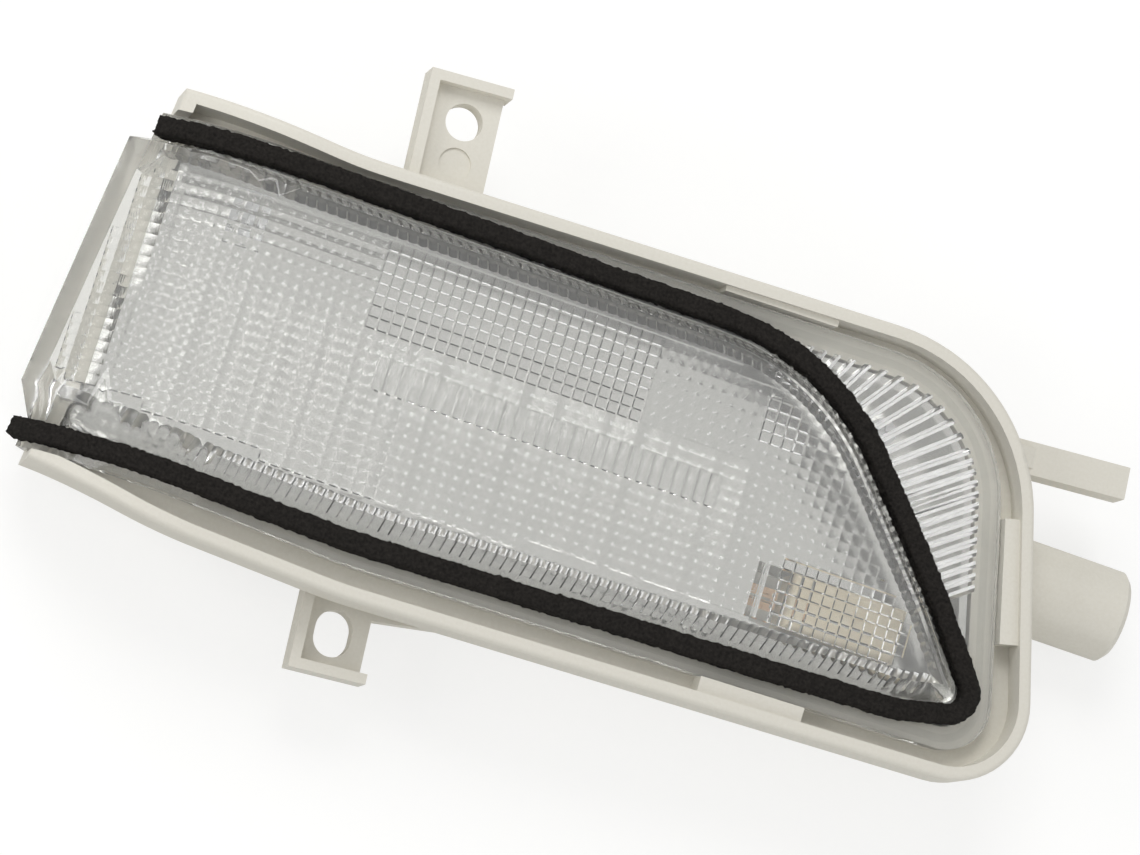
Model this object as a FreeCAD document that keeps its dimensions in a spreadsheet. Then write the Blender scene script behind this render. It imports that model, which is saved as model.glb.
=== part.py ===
import FreeCAD, Part
import math
import os

import Sketcher

# Mirror turn signal lamp, lying on its flat back with the lens up.
# X runs along the length towards the connector, Y across towards the lug with
# the round hole, and Z up out of the lens. The origin is on the flat back,
# below the middle of the lens. Sizes are millimetres and turns are degrees.
# The left end wraps round: every level above the back is flat up to a line
# across the lamp, and then follows an arc down towards the back.

V = FreeCAD.Vector
doc = FreeCAD.newDocument("mirror_turn_signal_lamp")
sheet = doc.addObject("Spreadsheet::Sheet", "Dims")

DIMS = {
    # Levels above the back, and the bend of the left end
    "floor_wall": 2.2,
    "brim_level": 16.0,
    "brim_wall": 1.8,
    "seat_level": 18.0,
    "rim_level": 22.5,
    "end_bend_x": -48.0,
    "end_bend_radius": 38.0,
    # Corners of the lens flange
    "end_top_x": -66.9,
    "end_top_y": 25.5,
    "top_bend_x": -40.2,
    "top_bend_y": 24.5,
    "top_bend_radius": 60.0,
    "nose_top_x": 60.8,
    "nose_top_y": 27.2,
    "nose_top_radius": 22.0,
    "nose_low_x": 73.8,
    "nose_low_y": -26.7,
    "nose_low_radius": 7.0,
    "low_bend_x": -25.0,
    "low_bend_y": -29.1,
    "low_bend_radius": 90.0,
    "end_low_x": -71.8,
    "end_low_y": -25.1,
    "lens_run_on": 26.0,
    # Lens shell
    "lens_wall": 2.2,
    "face_rise": 4.6,
    "slope_run": 2.9,
    "slope_height": 5.6,
    "low_spread": 2.9,
    "top_spread": 1.8,
    "hollow_lean": 0.6,
    "end_face_x": -74.1,
    "end_face_z": 14.4,
    "end_face_yaw": -10.0,
    "end_face_pitch": -43.5,
    # Seat, groove and rim of the housing
    "flange_clearance": 0.3,
    "seat_width": 3.4,
    "tub_inset": 0.9,
    "back_edge": 1.4,
    "rim_wall": 2.0,
    "rim_edge_radius": 0.8,
    "rim_reach_end_x": 0.2,
    "rim_reach_end_y": 3.3,
    "rim_reach_bend_y": 2.4,
    "rim_reach_top_x": 3.1,
    "rim_reach_top_y": 3.7,
    "rim_top_radius": 27.3,
    "rim_reach_nose_x": 7.0,
    "rim_reach_nose_y": 4.1,
    "rim_nose_radius": 11.6,
    "rim_reach_low_y": 5.1,
    "rim_low_radius": 80.0,
    "rim_sweep_x": 27.0,
    "rim_sweep_y": 3.7,
    "rim_sweep_radius": 60.0,
    "rim_end_low_x": -0.2,
    "rim_end_low_y": 3.1,
    "land_level": 21.6,
    "land_top_x": 24.5,
    "land_top_length": 17.6,
    "land_nose_y": -0.8,
    "land_nose_length": 18.4,
    "land_nose_turn": -13.6,
    "land_low_x": 36.5,
    "land_low_length": 16.0,
    "land_span": 9.0,
    # Flutes on the underside of the flange
    "flute_side": 0.7,
    "flute_length": 32.0,
    "flute_first_turn": 14.3,
    "flute_turn": 2.8,
    "flute_pitch": 1.6,
    "flute_reach_in": 2.6,
    "flute_end_inset": 3.0,
    # Foam gasket and its run round the raised face
    "gasket_width": 2.7,
    "gasket_height": 2.8,
    "gasket_gap": 0.3,
    "gasket_top_margin": 2.05,
    "gasket_shoulder_x": 34.0,
    "gasket_shoulder_radius": 36.0,
    "gasket_flank_x": 59.1,
    "gasket_flank_y": -6.3,
    "gasket_flank_radius": 60.0,
    "gasket_tip_in_x": 3.8,
    "gasket_tip_in_y": 5.8,
    "gasket_tip_radius": 3.2,
    "gasket_heel_x": 57.4,
    "gasket_heel_y": -23.7,
    "gasket_heel_radius": 22.0,
    "gasket_low_margin": 3.0,
    "gasket_low_radius": 150.0,
    "gasket_end_low_y": -23.2,
    "gasket_end_x": -71.9,
    "gasket_end_z": 13.2,
    "gasket_end_yaw": -13.3,
    "gasket_end_pitch": -42.0,
    # Sealant bead in its channel
    "bead_width": 1.2,
    "bead_depth": 1.2,
    "bead_inset": 1.1,
    # Fastening lugs
    "assembly_turn": 4.5,
    "lug_plate": 3.0,
    "lug_rib": 1.5,
    "lug_rib_rise": 2.0,
    "lug_rib_run": 11.5,
    "lug_left": 6.6,
    "lug_right": 5.0,
    "lug_out": 6.2,
    "lug_rib_overhang": 0.8,
    "upper_hole_x": -27.4,
    "upper_hole_y": 37.6,
    "upper_hole_radius": 2.75,
    "upper_lug_level": 14.5,
    "upper_lug_root": 14.6,
    "ejector_mark_radius": 2.4,
    "ejector_mark_depth": 0.3,
    "ejector_mark_offset": 6.3,
    "slot_x": -22.4,
    "slot_y": -37.8,
    "slot_width": 5.5,
    "slot_length": 6.8,
    "slot_left": 5.6,
    "lower_lug_level": 8.5,
    "lower_lug_root": 11.4,
    "web_length": 13.0,
    "web_outer_y": -34.3,
    "web_tip_y": -32.0,
    # Locating finger
    "finger_x": 58.0,
    "finger_y": 18.5,
    "finger_length": 26.2,
    "finger_width": 4.9,
    "finger_level": 11.5,
    "finger_thickness": 4.5,
    "finger_gusset_start": 4.0,
    "finger_gusset": 7.3,
    "finger_gusset_rise": 3.5,
    "finger_gusset_width": 3.0,
    # Connector tube
    "tube_axis_y": 2.4,
    "tube_axis_z": 7.3,
    "tube_radius": 7.0,
    "tube_end_edge": 0.8,
    "mouth_radius": 5.6,
    "mouth_depth": 6.5,
    "chamber_radius": 5.0,
    "chamber_length": 11.0,
    "septum_wall": 6.0,
    # Terminals and the potting behind them
    "pin_width": 1.5,
    "pin_thickness": 0.8,
    "pin_spacing": 4.4,
    "pin_reach": 10.0,
    "pin_foot_x": 57.6,
    "pin_foot_gap": 0.8,
    "pin_tip_edge": 0.25,
    "potting_radius": 3.8,
    "potting_end_x": 67.0,
    # Circuit board and what stands on it
    "board_x": 34.0,
    "board_y": -20.5,
    "board_length": 26.4,
    "board_width": 28.4,
    "board_thickness": 1.6,
    "board_level": 3.8,
    "board_hole_clearance": 0.1,
    "led_length": 3.5,
    "led_width": 2.8,
    "led_height": 1.9,
    "led_row_y": -12.0,
    "led_first_x": 43.5,
    "led_pitch": 5.5,
    "led_side_x": 37.9,
    "light_bar_x": 40.2,
    "light_bar_length": 17.8,
    "light_bar_width": 8.2,
    "light_bar_height": 6.8,
    "light_bar_wall": 1.2,
    "light_bar_edge": 0.8,
    "led_eye": 2.0,
    "led_eye_depth": 0.3,
    "part_row_y": -2.6,
    "resistor_first_x": 37.0,
    "resistor_pitch": 3.2,
    "resistor_length": 3.2,
    "resistor_width": 1.6,
    "resistor_height": 0.6,
    "diode_x": 52.0,
    "diode_length": 4.3,
    "diode_width": 2.6,
    "diode_height": 2.1,
    "capacitor_x": 47.0,
    "capacitor_y": 3.2,
    "capacitor_length": 4.5,
    "capacitor_width": 3.2,
    "capacitor_height": 2.0,
    # Reflector
    "reflector_clearance": 0.4,
    "reflector_wall": 1.2,
    "reflector_level": 8.4,
    "reflector_rim_drop": 0.6,
    "window_clearance": 0.4,
    "facet_first_x": -60.0,
    "facet_pitch": 6.0,
    "facet_rise": 1.5,
    "facet_flat": 0.4,
    "facet_width": 24.0,
    "facet_y": -6.0,
    # Screws, their pillars, and the vent
    "pillar_side": 5.2,
    "screw_radius": 1.1,
    "screw_head_radius": 2.1,
    "screw_head_height": 1.3,
    "screw_length": 5.0,
    "screw_cross": 0.6,
    "screw_cross_reach": 1.2,
    "screw_fit": 0.05,
    "screw_floor_gap": 0.3,
    "board_screw_x": 36.8,
    "board_screw_low_y": -17.8,
    "board_screw_top_y": 5.2,
    "board_rest_x": 58.0,
    "board_rest_y": -6.0,
    "rest_side": 2.6,
    "reflector_screw_left_x": -52.0,
    "reflector_screw_left_y": 15.0,
    "reflector_screw_right_x": 47.0,
    "reflector_screw_right_y": 16.5,
    "vent_x": -20.0,
    "vent_y": 0.0,
    "vent_radius": 5.0,
    "vent_recess": 0.6,
    "vent_film": 0.3,
    "vent_hole_radius": 1.2,
    # Reach of the construction blocks beyond the lamp
    "block_reach": 100.0,
    "block_height": 40.0,
}

SHOULDER_FLUTES = 15
FLANK_FLUTES = 12
FACETS = 15
LEDS = 4
RESISTORS = 4

for row, (name, size) in enumerate(DIMS.items(), start=1):
    sheet.set("A%d" % row, name)
    sheet.set("B%d" % row, repr(size))
    sheet.setAlias("B%d" % row, name)
doc.recompute()


# A size is written as text, such as "seat_level + lens_wall / 2"

FUNCTIONS = {
    "(": float,
    "sin(": lambda angle: math.sin(math.radians(angle)),
    "cos(": lambda angle: math.cos(math.radians(angle)),
    "atan(": lambda ratio: math.degrees(math.atan(ratio)),
}

def bound(text):
    words = text.split()
    return " ".join("Dims." + word if word in DIMS else word for word in words)


def number(text):
    """Value of a size, read from left to right."""
    words = text.split()

    def factor():
        word = words.pop(0)
        if word in FUNCTIONS:
            value = FUNCTIONS[word](total())
            words.pop(0)
            return value
        return DIMS[word] if word in DIMS else float(word)

    def product():
        value = factor()
        while words and words[0] in ("*", "/"):
            value = value * factor() if words.pop(0) == "*" else value / factor()
        return value

    def total():
        value = product()
        while words and words[0] in ("+", "-"):
            value = value + product() if words.pop(0) == "+" else value - product()
        return value

    return total()


FLANGE_TOP = "seat_level + lens_wall"
FACE_TOP = "seat_level + lens_wall + face_rise"
BEND_AXIS_Z = FACE_TOP + " - end_bend_radius"


# Sketches, blocks and the features that join them

def bind(thing, **sizes):
    for key, text in sizes.items():
        thing.setExpression(key, bound(text))
    return thing


def place(thing, x="0", y="0", z="0", yaw="0", pitch="0", roll="0", shift=None):
    spot = "placement(vector(%s; %s; %s); rotation(%s; %s; %s))"
    text = spot % tuple(bound(part) for part in (x, y, z, yaw, pitch, roll))
    if shift:
        text += " * " + spot % (tuple(bound(part) for part in shift) + ("0", "0", "0"))
    thing.setExpression("Placement", text)
    return thing


def outline(name, corners):
    """Closed sketch of straight sides with tangent arcs at the rounded corners."""
    sketch = doc.addObject("Sketcher::SketchObject", name)
    points = [V(number(x), number(y), 0) for x, y, radius in corners]
    radii = [number(radius) if radius else 0.0 for x, y, radius in corners]
    count = len(points)
    starts, ends, arcs = [], [], []
    for i in range(count):
        came = (points[i] - points[i - 1]).normalize()
        goes = (points[(i + 1) % count] - points[i]).normalize()
        turn = math.atan2(came.cross(goes).z, came.dot(goes))
        side = 1.0 if turn > 0 else -1.0
        reach = radii[i] * math.tan(abs(turn) / 2)
        starts.append(points[i] - came * reach)
        ends.append(points[i] + goes * reach)
        arcs.append((starts[i] + V(-came.y, came.x, 0) * side * radii[i], side))
    for i in range(count):
        sketch.addGeometry(Part.LineSegment(ends[i], starts[(i + 1) % count]), False)
    for i, (x, y, radius) in enumerate(corners):
        before = (i - 1) % count
        if radius:
            centre, side = arcs[i]
            angles = [math.atan2(p.y - centre.y, p.x - centre.x) for p in (starts[i], ends[i])]
            first, last = (1, 2) if side > 0 else (2, 1)
            if side < 0:
                angles.reverse()
            circle = Part.Circle(centre, V(0, 0, 1), radii[i])
            arc = sketch.addGeometry(Part.ArcOfCircle(circle, *angles), False)
            sketch.addConstraint(Sketcher.Constraint("Tangent", before, 2, arc, first))
            sketch.addConstraint(Sketcher.Constraint("Tangent", arc, last, i, 1))
            size = sketch.addConstraint(Sketcher.Constraint("Radius", arc, radii[i]))
            sketch.setExpression("Constraints[%d]" % size, bound(radius))
            corner = sketch.addGeometry(Part.Point(points[i]), True)
            sketch.addConstraint(Sketcher.Constraint("PointOnObject", corner, 1, before))
            sketch.addConstraint(Sketcher.Constraint("PointOnObject", corner, 1, i))
        else:
            corner = i
            sketch.addConstraint(Sketcher.Constraint("Coincident", before, 2, i, 1))
        for kind, text in (("DistanceX", x), ("DistanceY", y)):
            size = sketch.addConstraint(Sketcher.Constraint(kind, corner, 1, number(text)))
            sketch.setExpression("Constraints[%d]" % size, bound(text))
    return sketch


def offset(name, plan, distance):
    ring = doc.addObject("Part::Offset2D", name)
    ring.Source = plan
    ring.Join = "Arc"
    ring.Fill = False
    return bind(ring, Value=distance)


def extrusion(name, plan, direction, **sizes):
    block = doc.addObject("Part::Extrusion", name)
    block.Base = plan
    block.DirMode = "Custom"
    block.Dir = direction
    block.Solid = True
    return bind(block, **sizes)


def prism(name, plan, start="0", height="block_height"):
    return place(extrusion(name, plan, V(0, 0, 1), LengthFwd=height), z=start)


def box(name, length, width, height, x, y, z):
    block = doc.addObject("Part::Box", name)
    bind(block, Length=length, Width=width, Height=height)
    return place(block, x, y, z)


def post(name, radius, height, x, y, z):
    rod = doc.addObject("Part::Cylinder", name)
    bind(rod, Radius=radius, Height=height)
    return place(rod, x, y, z)


def wedge(name, length, top_start, top_end, rise, width):
    """Block whose top edge spans only part of its length."""
    block = doc.addObject("Part::Wedge", name)
    return bind(block, Xmin="0", Xmax=length, X2min=top_start, X2max=top_end, Ymin="0", Ymax=rise,
                Zmin="0", Zmax=width, Z2min="0", Z2max=width)


def rod_along_x(name, radius, start, end):
    rod = doc.addObject("Part::Cylinder", name)
    bind(rod, Radius=radius, Height="%s - ( %s )" % (end, start))
    return place(rod, start, "tube_axis_y", "tube_axis_z", pitch="90")


def fuse(name, *parts):
    joined = doc.addObject("Part::MultiFuse", name)
    joined.Shapes = list(parts)
    return joined


def common(name, base, tool):
    shared = doc.addObject("Part::Common", name)
    shared.Base, shared.Tool = base, tool
    return shared


def cut(name, base, *tools):
    """Base less every tool, which are joined first where there are several."""
    result = doc.addObject("Part::Cut", name)
    result.Base = base
    result.Tool = tools[0] if len(tools) == 1 else fuse(name + "_tools", *tools)
    return result


def level_of(point):
    """Level of a point, measured square to the bent surfaces at the left end."""
    axis_z = number(BEND_AXIS_Z)
    if point.x >= DIMS["end_bend_x"]:
        return point.z
    return axis_z + math.hypot(point.x - DIMS["end_bend_x"], point.z - axis_z)


def at_level(level):
    """Choice of the edges that run round a block at one level."""
    def chosen(spots):
        across = all(abs(spot.x - DIMS["end_bend_x"]) < 0.001 for spot in spots)
        return not across and all(abs(level_of(spot) - number(level)) < 0.001 for spot in spots)
    return chosen


def at_x(text):
    return lambda spots: all(abs(spot.x - number(text)) < 0.001 for spot in spots)


def at_z(text):
    return lambda spots: all(abs(spot.z - number(text)) < 0.001 for spot in spots)


def edged(kind, name, base, chosen, size):
    """Fillet or chamfer on the edges that pass a test of three spots along them."""
    doc.recompute()
    result = doc.addObject(kind, name)
    result.Base = base
    picked = []
    for index, edge in enumerate(base.Shape.Edges, start=1):
        run = edge.LastParameter - edge.FirstParameter
        spots = [edge.valueAt(edge.FirstParameter + share * run) for share in (0.0, 0.5, 1.0)]
        if chosen(spots):
            picked.append((index, number(size), number(size)))
    result.Edges = picked
    return result


def rounded(name, base, chosen, radius):
    return edged("Part::Fillet", name, base, chosen, radius)


def chamfered(name, base, chosen, size):
    return edged("Part::Chamfer", name, base, chosen, size)


# Everything below one level, bent down at the left end
below_blocks = {}


def below(level):
    if level in below_blocks:
        return below_blocks[level]
    label = "below_%d" % (len(below_blocks) + 1)
    sketch = doc.addObject("Sketcher::SketchObject", label + "_profile")
    sketch.Placement = FreeCAD.Placement(V(0, 0, 0), FreeCAD.Rotation(V(1, 0, 0), 90))
    bend_x, axis_z = DIMS["end_bend_x"], number(BEND_AXIS_Z)
    top, far = number(level), DIMS["block_reach"]
    radius = top - axis_z
    corners = [V(bend_x - radius, axis_z, 0), V(far, axis_z, 0), V(far, top, 0), V(bend_x, top, 0)]
    for i in range(3):
        sketch.addGeometry(Part.LineSegment(corners[i], corners[i + 1]), False)
    circle = Part.Circle(V(bend_x, axis_z, 0), V(0, 0, 1), radius)
    arc = sketch.addGeometry(Part.ArcOfCircle(circle, math.pi / 2, math.pi), False)
    for rule in (("Horizontal", 0), ("Vertical", 1), ("Horizontal", 2),
                 ("Coincident", 0, 2, 1, 1), ("Coincident", 1, 2, 2, 1),
                 ("Coincident", 2, 2, arc, 1), ("Coincident", arc, 2, 0, 1),
                 ("Vertical", 2, 2, arc, 3), ("Horizontal", arc, 3, arc, 2)):
        sketch.addConstraint(Sketcher.Constraint(*rule))
    for kind, geometry, point, text in (("DistanceX", arc, 3, "end_bend_x"),
                                        ("DistanceY", arc, 3, BEND_AXIS_Z),
                                        ("DistanceX", 0, 2, "block_reach"),
                                        ("DistanceY", 1, 2, level)):
        size = sketch.addConstraint(Sketcher.Constraint(kind, geometry, point, number(text)))
        sketch.setExpression("Constraints[%d]" % size, bound(text))
    below_blocks[level] = extrusion(label, sketch, V(0, 1, 0), LengthFwd="2 * block_reach")
    below_blocks[level].Symmetric = True
    return below_blocks[level]


def layer(name, block, low, high):
    """The part of a block between two levels."""
    return cut(name, common(name + "_top", block, below(high)), below(low))


# Outlines seen from the front

LENS_RIGHT = [
    ("nose_low_x", "nose_low_y", "nose_low_radius"),
    ("nose_top_x", "nose_top_y", "nose_top_radius"),
    ("top_bend_x", "top_bend_y", "top_bend_radius"),
]
seat_plan = outline("seat_plan", [
    ("end_top_x", "end_top_y", None),
    ("end_low_x", "end_low_y", None),
    ("low_bend_x", "low_bend_y", "low_bend_radius"),
] + LENS_RIGHT)
lens_plan = outline("lens_plan", [
    ("end_top_x - lens_run_on", "end_top_y", None),
    ("end_low_x - lens_run_on", "end_low_y", None),
    ("low_bend_x", "low_bend_y", "low_bend_radius"),
] + LENS_RIGHT)
rim_plan = outline("rim_plan", [
    ("end_top_x + rim_reach_end_x", "end_top_y + rim_reach_end_y", None),
    ("end_low_x - rim_end_low_x", "end_low_y - rim_end_low_y", None),
    ("low_bend_x - rim_sweep_x", "low_bend_y - rim_sweep_y", "rim_sweep_radius"),
    ("low_bend_x", "low_bend_y - rim_reach_low_y", "rim_low_radius"),
    ("nose_low_x + rim_reach_nose_x", "nose_low_y - rim_reach_nose_y", "rim_nose_radius"),
    ("nose_top_x + rim_reach_top_x", "nose_top_y + rim_reach_top_y", "rim_top_radius"),
    ("top_bend_x", "top_bend_y + rim_reach_bend_y", "top_bend_radius"),
])
GASKET_TOP_Y = "top_bend_y - gasket_top_margin"
gasket_path = outline("gasket_path", [
    ("end_top_x - lens_run_on", GASKET_TOP_Y, None),
    ("end_low_x - lens_run_on", "gasket_end_low_y", None),
    ("low_bend_x", "low_bend_y + gasket_low_margin", "gasket_low_radius"),
    ("gasket_heel_x", "gasket_heel_y", "gasket_heel_radius"),
    ("nose_low_x - gasket_tip_in_x", "nose_low_y + gasket_tip_in_y", "gasket_tip_radius"),
    ("gasket_flank_x", "gasket_flank_y", "gasket_flank_radius"),
    ("gasket_shoulder_x", GASKET_TOP_Y, "gasket_shoulder_radius"),
])

seat_outer = prism("seat_outer", offset("seat_outer_plan", seat_plan, "flange_clearance"))
groove_outer = prism("groove_outer", offset("groove_plan", rim_plan, "0 - rim_wall"))
cavity = prism("cavity", offset("cavity_plan", seat_plan, "0 - seat_width"), "floor_wall")


# Housing: a tray with a seat for the lens, a groove round it and a raised rim

def make_tub():
    plan = offset("tub_plan", seat_plan, "0 - tub_inset")
    block = chamfered("tub_block", prism("tub_prism", plan), at_z("0"), "back_edge")
    return common("tub", block, below("seat_level"))


def make_rim():
    block = layer("rim_block", prism("rim_prism", rim_plan), "brim_level", "rim_level")
    inside = cut("rim_inside", groove_outer, below("brim_level + brim_wall"))
    return cut("rim", rounded("rim_rounded", block, at_level("rim_level"), "rim_edge_radius"), inside)


def make_lands():
    """Pads that bridge the groove between the rim and the seat."""
    top = box("land_top_block", "land_top_length", "land_span", "block_height",
              "land_top_x - land_top_length / 2", "nose_top_y - land_span / 2", "0")
    low = box("land_low_block", "land_low_length", "land_span", "block_height",
              "land_low_x - land_low_length / 2", "nose_low_y - land_span", "0")
    nose = box("land_nose_block", "land_span", "land_nose_length", "block_height", "0", "0", "0")
    place(nose, "( nose_top_x + nose_low_x ) / 2", "land_nose_y", yaw="0 - land_nose_turn",
          shift=("0 - land_span / 2", "0 - land_nose_length / 2", "0"))
    blocks = common("land_strip", fuse("land_blocks", top, low, nose), groove_outer)
    return layer("lands", cut("land_pads", blocks, seat_outer), "brim_level", "land_level")


def lug(name, left, level, low_y, high_y, side_rib_y, end_rib_y, opening):
    """Plate drawn about its hole, with a rib along its left side and its outer end."""
    plate = box(name + "_plate", left + " + lug_right", high_y + " - ( " + low_y + " )", "lug_plate",
                "0 - " + left, low_y, level)
    side = box(name + "_side_rib", "lug_rib", "lug_out + lug_rib_run", "lug_plate + lug_rib_rise",
               "0 - " + left, side_rib_y, level)
    end = box(name + "_end_rib", left + " + lug_right + lug_rib_overhang", "lug_rib",
              "lug_plate + lug_rib_rise", "0 - " + left, end_rib_y, level)
    return cut(name, fuse(name + "_body", plate, side, end), opening)


def make_upper_lug():
    hole = post("upper_hole", "upper_hole_radius", "block_height", "0", "0", "0")
    mark = post("ejector_mark", "ejector_mark_radius", "ejector_mark_depth", "0",
                "0 - ejector_mark_offset", "upper_lug_level + lug_plate - ejector_mark_depth")
    solid = lug("upper_lug", "lug_left", "upper_lug_level", "0 - upper_lug_root", "lug_out",
                "0 - lug_rib_run", "lug_out - lug_rib", fuse("upper_openings", hole, mark))
    return place(solid, "upper_hole_x", "upper_hole_y", yaw="assembly_turn")


def make_lower_lug():
    straight = box("slot_straight", "slot_width", "slot_length - slot_width", "block_height",
                   "0 - slot_width / 2", "( slot_width - slot_length ) / 2", "0")
    ends = [post("slot_end_%d" % n, "slot_width / 2", "block_height", "0", spot, "0")
            for n, spot in enumerate(("( slot_length - slot_width ) / 2",
                                      "( slot_width - slot_length ) / 2"), start=1)]
    solid = lug("lower_lug", "slot_left", "lower_lug_level", "0 - lug_out", "lower_lug_root",
                "0 - lug_out", "0 - lug_out", fuse("slot", straight, *ends))
    return place(solid, "slot_x", "slot_y", yaw="assembly_turn")


def make_web():
    """Flat web that runs from the lower lug along the side of the tub."""
    plan = outline("web_plan", [
        ("slot_x", "low_bend_y + seat_width", None),
        ("slot_x", "web_outer_y", None),
        ("slot_x + lug_right", "web_outer_y", None),
        ("slot_x + lug_right + web_length", "web_tip_y", None),
        ("slot_x + lug_right + web_length", "low_bend_y + seat_width", None),
    ])
    return prism("web", plan, "lower_lug_level", "lug_plate")


def make_finger():
    """Flat locating finger with a gusset on its root."""
    bar = box("finger_bar", "finger_length", "finger_width", "finger_thickness",
              "0", "0 - finger_width / 2", "0")
    gusset = wedge("finger_gusset_block", "finger_gusset", "0", "0",
                   "finger_gusset_rise", "finger_gusset_width")
    place(gusset, "finger_gusset_start", "finger_gusset_width / 2", "finger_thickness", roll="90")
    solid = fuse("finger", bar, gusset)
    return place(solid, "finger_x", "finger_y", "finger_level", yaw="assembly_turn")


SEPTUM_END = "( potting_end_x + septum_wall )"
CHAMBER_END = "( potting_end_x + septum_wall + chamber_length )"
TUBE_END = "( potting_end_x + septum_wall + chamber_length + mouth_depth )"


def make_tube():
    rod = rod_along_x("tube_rod", "tube_radius", "nose_top_x", TUBE_END)
    return chamfered("tube", rod, at_x(TUBE_END), "tube_end_edge")


SCREWS = {
    "board": [("board_screw_x", "board_screw_low_y"), ("board_screw_x", "board_screw_top_y")],
    "reflector": [("reflector_screw_left_x", "reflector_screw_left_y"),
                  ("reflector_screw_right_x", "reflector_screw_right_y")],
}
SCREW_ENDS = {
    "board": "floor_wall + screw_floor_gap",
    "reflector": "reflector_level + reflector_wall - screw_length",
}
SEATS = {"board": "board_level", "reflector": "reflector_level"}
PLATES = {"board": "board_thickness", "reflector": "reflector_wall"}
PINS = ("tube_axis_y - pin_spacing / 2", "tube_axis_y + pin_spacing / 2")


def pillar(name, side, top, x, y):
    """Square pillar from within the floor up to a level."""
    return box(name, side, side, top + " - floor_wall / 2",
               x + " - " + side + " / 2", y + " - " + side + " / 2", "floor_wall / 2")


def make_pillars():
    """Pillars that carry the board and the reflector; most take a screw."""
    pillars = [pillar("%s_pillar_%d" % (kind, n), "pillar_side", SEATS[kind], x, y)
               for kind, spots in SCREWS.items() for n, (x, y) in enumerate(spots, start=1)]
    pillars += [pillar("board_rest_%d" % n, "rest_side", "board_level", "board_rest_x", y)
                for n, y in enumerate(("board_screw_low_y", "board_rest_y"), start=1)]
    return pillars


def screw_holes():
    return [post("%s_pilot_%d" % (kind, n), "screw_radius + screw_fit", "block_height", x, y, "floor_wall")
            for kind, spots in SCREWS.items() for n, (x, y) in enumerate(spots, start=1)]


def pin_ways(name, end):
    """Ways for the terminals from inside the wall out to a place along X."""
    return [box("%s_way_%d" % (name, n), end + " - nose_top_x", "pin_width", "pin_thickness",
                "nose_top_x", y + " - pin_width / 2", "tube_axis_z - pin_thickness / 2")
            for n, y in enumerate(PINS, start=1)]


def make_housing():
    seat = layer("seat_wall", seat_outer, "brim_level", "seat_level")
    groove_space = cut("groove_space", groove_outer, below("brim_level"))
    arms = cut("arms", fuse("arm_blocks", make_upper_lug(), make_finger()), groove_space)
    walls = fuse("walls", make_tub(), seat, make_rim(), make_lands(), arms,
                 make_lower_lug(), make_web(), make_tube())
    bay_plan = offset("lens_bay_plan", lens_plan, "flange_clearance")
    bay = cut("lens_bay", prism("lens_bay_prism", bay_plan), below("seat_level"))
    mouth = rod_along_x("mouth", "mouth_radius", CHAMBER_END, TUBE_END)
    chamber = rod_along_x("chamber", "chamber_radius", SEPTUM_END, TUBE_END)
    recess = rod_along_x("potting_recess", "potting_radius", "nose_top_x", "potting_end_x")
    vent = post("vent_recess_block", "vent_radius", "vent_recess", "vent_x", "vent_y", "0")
    vent_hole = post("vent_hole", "vent_hole_radius", "floor_wall", "vent_x", "vent_y", "0")
    shell = cut("shell", walls, cavity, bay, bead, mouth, chamber, recess, vent, vent_hole,
                *pin_ways("wall", SEPTUM_END))
    return cut("housing", fuse("shell_with_pillars", shell, *make_pillars()), *screw_holes())


# Lens: a raised face with sloping sides on a flange, bent round the left end

def end_block(name, inset):
    """Everything beyond the slanted left end, moved inwards by the inset."""
    block = box(name, "block_reach", "block_reach", "block_reach", "0", "0", "0")
    return place(block, "end_face_x", "0", "end_face_z", "end_face_yaw", "end_face_pitch",
                 shift=(inset + " - block_reach", "0 - block_reach / 2", "0 - block_reach / 2"))


LOW_SLOPE = ("( gasket_end_low_y - low_bend_y - gasket_low_margin )"
             " / ( low_bend_x - end_low_x + lens_run_on )")
LOW_LEAN = "cos( atan( " + LOW_SLOPE + " ) )"
FACE_INSET = "gasket_width / 2 + gasket_gap - slope_run / slope_height"
HOLLOW_INSET = FACE_INSET + " + lens_wall * hollow_lean"
SECTION_TURNS = ("0", "12", "24", "36", "48", "60")


def bent_sloped(name, inset, top):
    """Left end of a raised block, drawn through sections square to the bend."""
    sections = []
    for n, turn in enumerate(SECTION_TURNS, start=1):
        corners = []
        for run, drop in ((" + 0", " - slope_height"), (" + slope_run", " - 0")):
            radius = "( " + top + drop + " - ( " + BEND_AXIS_Z + " ) )"
            along = "( low_bend_x - end_bend_x + " + radius + " * sin( " + turn + " ) )"
            path_y = "low_bend_y + gasket_low_margin + " + LOW_SLOPE + " * " + along
            low = path_y + " + ( " + inset + run + " ) / " + LOW_LEAN
            high = GASKET_TOP_Y + " - ( " + inset + run + " )"
            if run != " + 0":
                low += " + low_spread * sin( " + turn + " )"
                high += " + top_spread * sin( " + turn + " )"
            corners.append((low, radius, None))
            corners.append((high, radius, None))
        corners[2:] = corners[:1:-1]
        section = outline("%s_section_%d" % (name, n), corners)
        sections.append(place(section, "end_bend_x", "0", BEND_AXIS_Z, yaw="90", roll="90 - " + turn))
    loft = doc.addObject("Part::Loft", name + "_bent")
    loft.Sections = sections
    loft.Solid = True
    return loft


def sloped(name, inset, top):
    """Raised block whose sides lean inwards towards its top."""
    plan = offset(name + "_plan", gasket_path, "0 - ( " + inset + " )")
    block = place(extrusion(name + "_leaning", plan, V(0, 0, 1), LengthFwd="slope_height",
                            TaperAngle="atan( 0 - slope_run / slope_height )"),
                  z=top + " - slope_height")
    right = box(name + "_right", "2 * block_reach", "block_reach", "block_reach",
                "end_bend_x", "0 - block_reach / 2", "0")
    return fuse(name, common(name + "_flat", block, right), bent_sloped(name, inset, top))


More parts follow.
